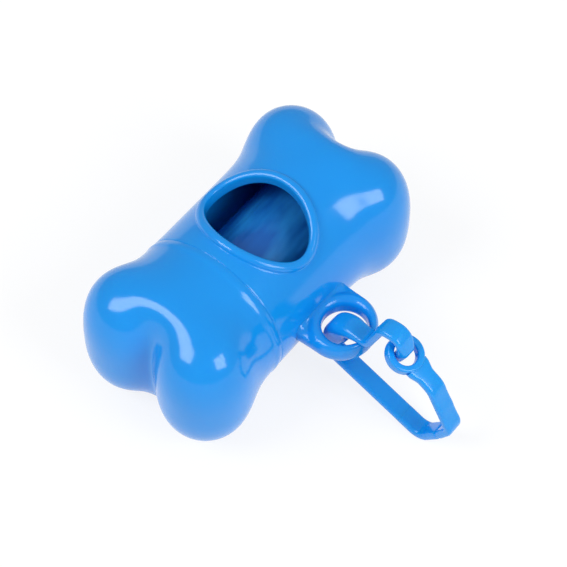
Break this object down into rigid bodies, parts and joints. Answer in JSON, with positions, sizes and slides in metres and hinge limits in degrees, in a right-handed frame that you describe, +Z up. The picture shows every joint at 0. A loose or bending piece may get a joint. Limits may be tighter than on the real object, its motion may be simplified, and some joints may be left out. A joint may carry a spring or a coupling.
{
  "type": "dog waste bag dispenser",
  "caption": "Hollow bone-shaped holder for a roll of bags, with an oval mouth, a pull-off cap, an eye tab and a one-piece plastic snap clip.",
  "frame": {"origin": "middle of the extent in X and Y, at the height of the surface it lies on", "axes": "+Z up through the mouth; X along the bone with the cap at -X; the eye tab and clip point to -Y"},
  "size_m": [0.0774, 0.0792, 0.0395],
  "materials": {
    "shell": "glossy injection-moulded plastic, one colour all through",
    "clip": "glossy moulded plastic, tough enough to flex at the living hinge",
    "core": "wound brown board",
    "film": "thin wound polythene film, hazy"
  },
  "bodies": {
    "housing": {"body_shell": "shell"},
    "cap": {"cap_shell": "shell"},
    "roll": {"roll_core": "core", "bag_roll": "film"},
    "clip": {"clip_hook": "clip"},
    "arm": {"clip_arm": "clip"}
  },
  "joints": [
    {"name": "cap_pull", "type": "slide", "parent": "housing", "child": "cap", "axis": [-1, 0, 0], "range_m": [0, 0.06]},
    {"name": "roll_spin", "type": "hinge", "parent": "housing", "child": "roll", "pos_m": [0, 0.01836, 0.0167], "axis": [1, 0, 0], "continuous": true},
    {"name": "clip_swing", "type": "hinge", "parent": "housing", "child": "clip", "pos_m": [0.0014, -0.01369, 0.01945], "axis": [-1, 0, 0], "range_deg": [-10, 80]},
    {"name": "clip_latch", "type": "hinge", "parent": "clip", "child": "arm", "pos_m": [0.0007, -0.03574, 0.00635], "axis": [-1, 0, 0], "range_deg": [0, 7], "stiffness_Nm_per_rad": 0.02}
  ]
}
